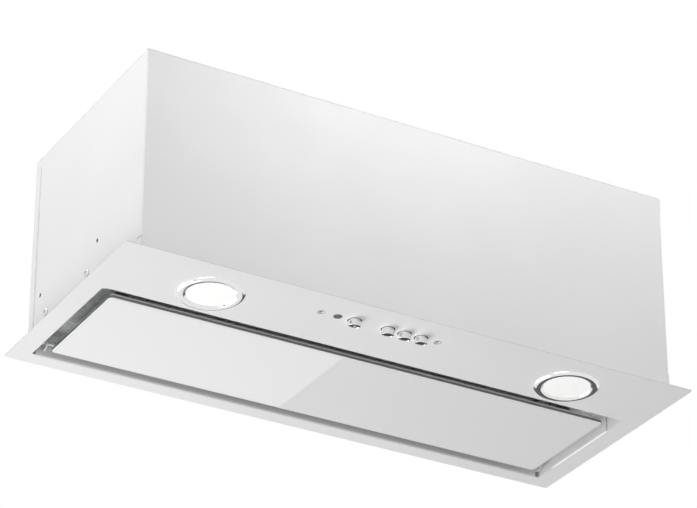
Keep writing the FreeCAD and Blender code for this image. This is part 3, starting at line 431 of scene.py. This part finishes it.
# %% Stage finishes
FLOOR_LIFT = 0.78
floor_paint, shader = finish("floor_paint", (0.82, 0.82, 0.82), 0.8)
blend(floor_paint, noise(floor_paint, 1.5, 2), (0.815, 0.815, 0.815), (0.825, 0.825, 0.825),
      shader.inputs["Base Color"])
lift = floor_paint.node_tree.nodes.new("ShaderNodeMath")
lift.operation = "MULTIPLY"
lift.inputs[1].default_value = FLOOR_LIFT
floor_paint.node_tree.links.new(seen_directly(floor_paint.node_tree), lift.inputs[0])
floor_paint.node_tree.links.new(lift.outputs[0], shader.inputs["Emission Strength"])
shader.inputs["Emission Color"].default_value = (1, 1, 1, 1)
floor.data.materials.append(floor_paint)

card_paint, shader = finish("card_paint", (0.25, 0.25, 0.25), 0.9)
blend(card_paint, noise(card_paint, 3, 2), (0.24, 0.24, 0.24), (0.26, 0.26, 0.26),
      shader.inputs["Base Color"])
for made in cards:
    made.data.materials.append(card_paint)

# %% [markdown]
# ## Steelwork and mechanism from CAD
#
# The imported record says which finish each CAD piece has. The pieces keep their shapes, and
# only their material slot is filled.

# %% Finishes of the CAD pieces
BY_SLOT = {
    "white_paint": white_paint,
    "galvanised": galvanised,
    "white_glass": white_glass,
    "chrome": chrome,
    "lamp_lens": lamp_lens,
    "dark_plastic": dark_plastic,
    "grey_plastic": grey_plastic,
    "mesh": mesh_metal,
    "steel": steel,
    "motor_steel": motor_steel,
    "indicator": indicator,
    "magnet": magnet,
}
for part in frame["record"]["subparts"]:
    node = nodes[part["node"]]
    node.data.materials.clear()
    node.data.materials.append(BY_SLOT[part["material_slot"]])
print("finished", len(nodes), "CAD pieces")

# %% [markdown]
# ## Kit for modelling
#
# New pieces are made with the tools that one would use by hand. `settled` ends a piece: it
# applies the place to the mesh, so that the object sits at the origin as a CAD piece does,
# smooths what is round and gives the finish. Faces are picked by how far their normal goes
# along a direction: nearly all the way when they face it, hardly at all when they stand along.

# %% Helpers for new pieces
SMOOTH_BELOW = 32
NEARLY = 0.98
HARDLY = 0.1


def settled(piece, name, made, slot, body, *replaced):
    """Ends a piece: place applied, smooth shading, finish, body and replaced CAD nodes."""
    piece.name = name
    bpy.ops.object.mode_set(mode="OBJECT")
    bpy.ops.object.select_all(action="DESELECT")
    piece.select_set(True)
    bpy.context.view_layer.objects.active = piece
    bpy.ops.object.transform_apply(location=True, rotation=True, scale=True)
    bpy.ops.object.shade_smooth_by_angle(angle=math.radians(SMOOTH_BELOW))
    if not piece.data.materials:
        piece.data.materials.append(made)
    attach(piece, body)
    if replaced:
        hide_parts(*replaced)
    return piece


def apply_modifiers(piece):
    """Turns a piece's modifiers into mesh, in their order."""
    bpy.context.view_layer.objects.active = piece
    for modifier in list(piece.modifiers):
        bpy.ops.object.modifier_apply(modifier=modifier.name)


def pick(piece, wanted, kind="polygons"):
    """Selects the faces or edges that a test wants, and leaves the piece in edit mode."""
    modes = {"polygons": "FACE", "edges": "EDGE"}
    bpy.ops.object.mode_set(mode="EDIT")
    bpy.ops.mesh.select_mode(type=modes[kind])
    bpy.ops.mesh.select_all(action="DESELECT")
    bpy.ops.object.mode_set(mode="OBJECT")
    for item in getattr(piece.data, kind):
        item.select = wanted(item)
    bpy.ops.object.mode_set(mode="EDIT")


def paint_picked(piece, made):
    """Gives the selected faces a finish of their own."""
    if made.name not in piece.data.materials:
        piece.data.materials.append(made)
    piece.active_material_index = piece.data.materials.find(made.name)
    bpy.ops.object.material_slot_assign()


def in_metres(profile):
    """Profiles are written down in millimetres."""
    return [(radius * MM, height * MM) for radius, height in profile]


SAME_POINT = 0.001 * MM


def turned(profile, centre, steps=96):
    """Round piece about Z: a ring is extruded and resized along (radius, height) points."""
    radius, height = profile[0]
    x, y, z = centre
    add = bpy.ops.mesh.primitive_circle_add
    ring = start(add, vertices=steps, radius=radius, location=(x, y, z + height))
    bpy.ops.object.mode_set(mode="EDIT")
    bpy.ops.mesh.select_all(action="SELECT")
    for next_radius, next_height in profile[1:]:
        rise = {"value": (0, 0, next_height - height)}
        bpy.ops.mesh.extrude_edges_move(TRANSFORM_OT_translate=rise)
        scale = next_radius / radius
        middle = (x, y, z + next_height)
        bpy.ops.transform.resize(value=(scale, scale, 1), center_override=middle)
        radius, height = next_radius, next_height
    bpy.ops.mesh.select_all(action="SELECT")
    bpy.ops.mesh.remove_doubles(threshold=SAME_POINT)
    bpy.ops.mesh.fill_holes(sides=0)
    bpy.ops.mesh.normals_make_consistent(inside=False)
    bpy.ops.object.mode_set(mode="OBJECT")
    return ring


# %% [markdown]
# ## Glass panel
#
# The real panel is cut from 4 mm glass, its corners are ground round, and the sharp edges are
# taken off by a narrow polished facet. A cube of its size gets the corners by a bevel of the
# upright edges and then the facet by a finer bevel of all the others. Two insets of the front
# face mark the line where the enamel behind the glass stops.

# %% Glass panel
CORNER_RADIUS = 5 * MM
FACET = 0.5 * MM
ENAMEL_STOPS = 1.6 * MM
ENAMEL_FADES = 0.9 * MM
low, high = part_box("glass_panel")
panel = start(bpy.ops.mesh.primitive_cube_add, size=1, location=(low + high) / 2)
panel.dimensions = high - low
bpy.ops.object.transform_apply(location=False, rotation=False, scale=True)


def upright(edge):
    """The four edges that stand at the corners."""
    ends = [panel.data.vertices[index].co for index in edge.vertices]
    return abs(ends[0].z - ends[1].z) > 1 * MM


pick(panel, upright, "edges")
bpy.ops.mesh.bevel(offset=CORNER_RADIUS, segments=10)
pick(panel, lambda face: abs(face.normal.z) > NEARLY)
bpy.ops.mesh.region_to_loop()
bpy.ops.mesh.bevel(offset=FACET, segments=2)
panel.data.materials.append(white_glass)
pick(panel, lambda face: abs(face.normal.z) < NEARLY)
paint_picked(panel, glass_arris)
pick(panel, lambda face: abs(face.normal.z) < HARDLY)
paint_picked(panel, shaded_glass_edge)
pick(panel, lambda face: face.normal.z < -NEARLY)
bpy.ops.mesh.inset(thickness=ENAMEL_STOPS)
paint_picked(panel, enamel_end)
bpy.ops.mesh.inset(thickness=ENAMEL_FADES)
paint_picked(panel, white_glass)
settled(panel, "panel_glass", white_glass, "white_glass", "panel", "glass_panel")
print("panel faces", len(panel.data.polygons))

# %% [markdown]
# ## Lamps
#
# Each lamp is a turned chrome ring round a frosted lens. The ring's face is slightly dished
# between a rolled outer edge, which falls to the rim, and a short cone down to the lens. The
# slopes matter: each one mirrors another part of the room, and that draws the ring's outline.

# %% Lamps
LAMP_X = 0.222
LAMP_Y = -0.0907
RIM_UNDER = -1 * MM
bezel_profile = [
    (37.0, 0.0), (36.9, -0.35), (36.6, -0.7), (35.6, -1.5), (34.4, -2.15), (33.6, -2.4),
    (33.0, -2.5), (32.2, -2.48), (29.2, -2.2), (28.6, -2.1), (28.2, -1.9), (27.2, -1.0),
    (26.9, -0.85), (26.6, -0.8), (26.6, 0.0),
]
lens_profile = [
    (0.4, -1.0), (10.0, -0.95), (20.0, -0.75), (26.6, -0.45), (30.4, -0.2), (30.5, 1.8),
    (0.4, 1.8),
]


def lamp(side, x):
    """Ring and lens of the lamp on one side."""
    centre = (x, LAMP_Y, RIM_UNDER)
    bezel = turned(in_metres(bezel_profile + bezel_profile[:1]), centre, 128)
    settled(bezel, f"{side}_lamp_bezel", chrome, "chrome", "housing", "lamp_bezels")
    lens = turned(in_metres(lens_profile), centre, 96)
    settled(lens, f"{side}_lamp_lens", lamp_lens, "lamp_lens", "housing", "lamp_lenses")


lamp("left", -LAMP_X)
lamp("right", LAMP_X)
print("lamps at", -LAMP_X, "and", LAMP_X)

# %% [markdown]
# ## Push buttons
#
# A button is a chromed cap, cut off at a slant so that its front stands out most. The slant is
# made as on a lathe part in a vice: a plane bisects the cap and the open end is filled. The end
# is set in a little and painted dark chrome: a painted reflection of dark surroundings. The
# lamps' button carries a fine raised ring, so that a thumb can tell it from the others.

# %% Buttons
BUTTONS = ("light_button", "speed_button_1", "speed_button_2", "speed_button_3")
SLANT = math.radians(12)
END_NORMAL = Vector((0, math.sin(SLANT), -math.cos(SLANT)))
CAP_HOLE = 0.2 * MM
END_FACING = 0.999
END_BEVEL = 0.45 * MM
END_LIP = 0.35 * MM
END_DEPTH = 0.2 * MM
MARK_INSET = 3 * MM
MARK_WIDE = 1 * MM
MARK_TALL = 0.25 * MM
MARK_SLOPE = 0.1 * MM


def sink(depth):
    """Moves the selected faces into the button, square to its end."""
    bpy.ops.transform.translate(value=-END_NORMAL * depth)


def button(name):
    """Cap with a slanted, sunk end, made in the box of the CAD button."""
    low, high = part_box(name)
    radius = (high.x - low.x) / 2
    centre = ((low.x + high.x) / 2, (low.y + high.y) / 2, high.z)
    end = low.z - high.z
    side = [(CAP_HOLE, 0), (radius, 0), (radius, end), (CAP_HOLE, end)]
    cap = turned(side, centre, 72)
    cap.data.materials.append(chrome)
    bpy.ops.object.mode_set(mode="EDIT")
    bpy.ops.mesh.select_all(action="SELECT")
    nose = (centre[0], low.y, low.z)
    bpy.ops.mesh.bisect(plane_co=nose, plane_no=END_NORMAL, clear_outer=True, use_fill=True)
    pick(cap, lambda face: face.normal.dot(END_NORMAL) > END_FACING)
    bpy.ops.mesh.region_to_loop()
    bpy.ops.mesh.bevel(offset=END_BEVEL, segments=3)
    pick(cap, lambda face: face.normal.dot(END_NORMAL) > END_FACING)
    bpy.ops.mesh.inset(thickness=END_LIP)
    bpy.ops.mesh.inset(thickness=END_DEPTH)
    sink(END_DEPTH)
    paint_picked(cap, dark_reflection_chrome)
    if name == "light_button":
        bpy.ops.mesh.inset(thickness=MARK_INSET)
        bpy.ops.mesh.inset(thickness=MARK_SLOPE)
        sink(-MARK_TALL)
        paint_picked(cap, chrome)
        bpy.ops.mesh.inset(thickness=MARK_WIDE)
        bpy.ops.mesh.inset(thickness=MARK_SLOPE)
        sink(MARK_TALL)
        paint_picked(cap, dark_reflection_chrome)
    settled(cap, f"{name}_cap", chrome, "chrome", name, name)
    print(name, "faces", len(cap.data.polygons))


for name in BUTTONS:
    button(name)

# %% [markdown]
# ## Screws
#
# Heads are turned from their profile, and a recess is cut into them by a boolean with one thin
# block for a slot, or two for a cross. The side screws, the ones on the sheets that nobody sees
# and those of the duct collar have low domed heads with a cross. The two in the button row are
# slotted, sit in a dish and have a pressed collar of paint round them.

# %% Screw heads
def recess(piece, centre, blades, length, width, depth, axis):
    """Cuts a slot, or a cross of two, into a head that faces along an axis."""
    for blade in range(blades):
        tool = start(bpy.ops.mesh.primitive_cube_add, size=1, location=centre)
        flat = [length, width] if blade == 0 else [width, length]
        flat.insert("xyz".index(axis), depth)
        tool.scale = flat
        bpy.ops.object.transform_apply(location=False, rotation=False, scale=True)
        cut = piece.modifiers.new("recess", "BOOLEAN")
        cut.object = tool
        cut.solver = "EXACT"
        apply_modifiers(piece)
        bpy.data.objects.remove(tool)


DOME_STEPS = 6
DOME_QUARTER = 6.5
FOOT = 0.3
CROSS_LONG = 1.1
CROSS_WIDE = 0.2
CROSS_DEEP = 0.9
AXIS_TURNS = {"x": (0, 90, 0), "y": (-90, 0, 0), "z": (0, 0, 0)}


def round_head(name, place, axis, sign, radius, tall):
    """Domed screw head that stands on a face at a place, with its top along an axis."""
    dome = [(radius, 0), (radius, tall * FOOT)]
    for step in range(1, DOME_STEPS + 1):
        turn = math.radians(90 * step / DOME_QUARTER)
        height = tall * (FOOT + (1 - FOOT) * math.sin(turn))
        dome.append((radius * math.cos(turn), height))
    screw = turned(dome, (0, 0, 0), 32)
    screw.rotation_euler = [math.radians(sign * angle) for angle in AXIS_TURNS[axis]]
    screw.location = place
    bpy.ops.object.transform_apply(location=True, rotation=True, scale=True)
    top = Vector(place)
    top["xyz".index(axis)] += sign * tall
    cross = (radius * CROSS_LONG, radius * CROSS_WIDE, tall * CROSS_DEEP)
    recess(screw, top, 2, *cross, axis)
    return settled(screw, name, steel, "steel", "housing")


CASE_SIDE = 327 * MM
SIDE_HEAD = (4.5 * MM, 2.7 * MM)
SIDE_SCREW = {"front": -8.45 * MM, "rear": 94.05 * MM}
SIDE_SCREW_Z = 34.4 * MM
for side, sign in (("left", -1), ("right", 1)):
    for end, y in SIDE_SCREW.items():
        place = (sign * CASE_SIDE, y, SIDE_SCREW_Z)
        head = round_head(f"{side}_side_screw_{end}", place, "x", sign, *SIDE_HEAD)
        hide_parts("side_screws")

REAR_FACE = 139 * MM
SHEET_HEAD = (3.4 * MM, 1.7 * MM)
for row, z in (("high", 235 * MM), ("low", 9 * MM)):
    for end, x in (("left", -250 * MM), ("middle", 0), ("right", 250 * MM)):
        place = (x, REAR_FACE, z)
        round_head(f"rear_screw_{row}_{end}", place, "y", 1, *SHEET_HEAD)

COLLAR_TOP = 245.5 * MM
for end, y in (("front", -44 * MM), ("rear", 116 * MM)):
    for side, x in (("left", -80 * MM), ("right", 80 * MM)):
        place = (x, y, COLLAR_TOP)
        round_head(f"collar_screw_{end}_{side}", place, "z", 1, *SHEET_HEAD)

# %% [markdown]
# The two screws of the row lie in the rim's sheet. Each is a dish with a slot and a thin bright
# lip; its bottom is painted dark as painted shade, and its seat is the pressed ring round it,
# painted grey as painted shade. A piece that has just been turned has its origin at the first
# ring, so the bottom is what lies at most a little below it.

# %% Screws of the button row
ROW_Y = -111.5 * MM
SLOT = (4.4 * MM, 0.8 * MM, 0.9 * MM)
SLOT_LEVEL = RIM_UNDER + 0.8 * MM
SHADED_BOTTOM_BAND = -0.4 * MM
SHADED_BOTTOM_FACING = 0.8
dish = [
    (0.3, 0.85), (2.7, 0.8), (2.9, 0.65), (3.05, 0.0), (3.12, -0.05), (3.2, 0.0), (3.25, 0.1),
    (3.25, 0.95), (1.6, 0.98), (1.6, 2.3), (0.3, 2.3),
]
pressed = [(3.3, 0.4), (3.3, -0.4), (3.45, -0.5), (3.7, -0.42), (4.5, -0.03), (4.5, 0.4)]
for end, x in (("left", -101.4 * MM), ("right", 42.45 * MM)):
    centre = (x, ROW_Y, RIM_UNDER)
    screw = turned(in_metres(dish), centre, 48)
    recess(screw, (x, ROW_Y, SLOT_LEVEL), 1, *SLOT, "z")
    screw.data.materials.append(steel)
    # Painted shade: the downward faces of the dish's bottom get the dark smoked finish.
    pick(screw, lambda face: face.normal.z < -SHADED_BOTTOM_FACING and face.center.z > SHADED_BOTTOM_BAND)
    paint_picked(screw, indicator)
    settled(screw, f"row_screw_{end}", steel, "steel", "housing", "row_screws")
    ring = turned(in_metres(pressed + pressed[:1]), centre, 48)
    settled(ring, f"row_screw_seat_{end}", seat_shade_paint, "white_paint", "housing")
print("row screws at", ROW_Y)

# %% [markdown]
# ## Grease filter
#
# A grease filter is a pack of expanded metal: a sheet is slit and pulled until the slits open
# into diamonds. One diamond is a flat ring between two circles of four corners. It is given its
# thickness and tipped a little, as pulled strands are. Two arrays repeat it over the frame's
# opening, and three layers lie over each other, out of step.

# %% Filter mesh
low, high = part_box("filter_mesh")
STRANDS = (60, 34)
STEP_X = (high.x - low.x) / STRANDS[0]
STEP_Y = (high.y - low.y) / STRANDS[1]
STRAND_THICK = 0.5 * MM
OPENING = (0.74, 0.64, 1)
STRAND_TIP = 14


def expanded_layer(height, shift):
    """One sheet of diamonds at a height, moved along X by a part of a diamond."""
    corner = (low.x + STEP_X * 0.5, low.y + STEP_Y * 0.5, height)
    cell = start(bpy.ops.mesh.primitive_circle_add, vertices=4, radius=0.5, location=corner)
    cell.scale = (STEP_X, STEP_Y, 1)
    bpy.ops.object.transform_apply(location=False, rotation=False, scale=True)
    bpy.ops.object.mode_set(mode="EDIT")
    bpy.ops.mesh.select_all(action="SELECT")
    bpy.ops.mesh.extrude_edges_move(TRANSFORM_OT_translate={"value": (0, 0, 0)})
    bpy.ops.transform.resize(value=OPENING, center_override=corner)
    bpy.ops.object.mode_set(mode="OBJECT")
    cell.rotation_euler.x = math.radians(STRAND_TIP)
    bpy.ops.object.transform_apply(location=False, rotation=True, scale=True)
    skin = cell.modifiers.new("strand", "SOLIDIFY")
    skin.thickness = STRAND_THICK
    counts = (STRANDS[0] - 1, STRANDS[1])
    for count, step in zip(counts, ((STEP_X, 0, 0), (0, STEP_Y, 0))):
        repeat = cell.modifiers.new("repeat", "ARRAY")
        repeat.count = count
        repeat.use_relative_offset = False
        repeat.use_constant_offset = True
        repeat.constant_offset_displace = step
    apply_modifiers(cell)
    cell.location.x += STEP_X * shift
    return cell


LAYER_INSET = 1.2 * MM
LAYERS = (
    (low.z + LAYER_INSET, 0.0),
    ((low.z + high.z) / 2, 0.5),
    (high.z - LAYER_INSET, 0.25),
)
layers = [expanded_layer(height, shift) for height, shift in LAYERS]
bpy.ops.object.select_all(action="DESELECT")
for layer in layers:
    layer.select_set(True)
bpy.context.view_layer.objects.active = layers[0]
bpy.ops.object.join()
filter_mesh = bpy.context.object
bpy.ops.object.mode_set(mode="EDIT")
bpy.ops.mesh.select_all(action="SELECT")
bpy.ops.mesh.normals_make_consistent(inside=False)
settled(filter_mesh, "filter_strands", mesh_metal, "mesh", "housing", "filter_mesh")
print("filter mesh faces", len(filter_mesh.data.polygons))

# %% [markdown]
# Small rivets hold the frame's corners together. They show when the glass panel hangs open.

# %% Filter rivets
frame_low, frame_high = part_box("filter_frame")
RIVET_INSET = 6 * MM
RIVET_Y = {"front": frame_low.y + RIVET_INSET, "rear": frame_high.y - RIVET_INSET}
RIVET_X = {"left": frame_low.x + RIVET_INSET, "right": frame_high.x - RIVET_INSET}
rivet_dome = [(2.2, 0.2), (2.2, -0.2), (1.9, -0.6), (1.3, -0.85), (0.3, -0.95), (0.3, 0.2)]
for end, y in RIVET_Y.items():
    for side, x in RIVET_X.items():
        rivet = turned(in_metres(rivet_dome), (x, y, frame_low.z), 24)
        settled(rivet, f"filter_rivet_{end}_{side}", steel, "steel", "housing")
print("rivets", len(RIVET_X) * len(RIVET_Y))

# %% [markdown]
# ## On the lid
#
# The duct collar is a moulding: two grip ribs run round its spigot, just below the mouth.

# %% Duct collar
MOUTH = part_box("outlet_collar")[1].z
SPIGOT = 74.5
DUCT_MID = (0, 36 * MM)
RIB_DROPS = (6 * MM, 14 * MM)
rib = [
    (SPIGOT - 0.5, -1.0), (SPIGOT, -1.0), (SPIGOT + 0.7, -0.4), (SPIGOT + 0.7, 0.4),
    (SPIGOT, 1.0), (SPIGOT - 0.5, 1.0),
]
for count, drop in enumerate(RIB_DROPS, 1):
    ring = turned(in_metres(rib + rib[:1]), (*DUCT_MID, MOUTH - drop), 128)
    settled(ring, f"collar_rib_{count}", dark_plastic, "dark_plastic", "housing")
print("collar ribs", len(RIB_DROPS))

# %% [markdown]
# The cable gland is a hexagon with a round clamp nut on it. The hole in the nut's dome is
# narrow, for the cable alone.

# %% Cable gland
gland_low, gland_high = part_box("cable_gland")
GLAND_X = (gland_low.x + gland_high.x) / 2
GLAND_Y = (gland_low.y + gland_high.y) / 2
LID = 243 * MM
HEX_RADIUS = 12.7 * MM
HEX_TALL = 5 * MM
HEX_BEVEL = 0.8 * MM
hexagon = start(
    bpy.ops.mesh.primitive_cylinder_add,
    vertices=6,
    radius=HEX_RADIUS,
    depth=HEX_TALL,
    location=(GLAND_X, GLAND_Y, LID + HEX_TALL / 2),
    rotation=(0, 0, math.radians(30)),
)
bpy.ops.object.transform_apply(location=False, rotation=True, scale=True)
pick(hexagon, lambda face: face.normal.z > NEARLY)
bpy.ops.mesh.region_to_loop()
bpy.ops.mesh.bevel(offset=HEX_BEVEL, segments=2)
settled(hexagon, "cable_gland_base", dark_plastic, "dark_plastic", "housing", "cable_gland")

clamp = [
    (3.75, 5.0), (7.4, 5.0), (7.4, 6.0), (7.4, 11.4), (6.9, 13.2), (5.8, 14.4), (4.6, 15.0),
    (3.75, 15.0),
]
nut = turned(in_metres(clamp + clamp[:1]), (GLAND_X, GLAND_Y, LID), 48)
settled(nut, "cable_gland_nut", dark_plastic, "dark_plastic", "housing", "cable_gland")
print("gland faces", len(hexagon.data.polygons) + len(nut.data.polygons))
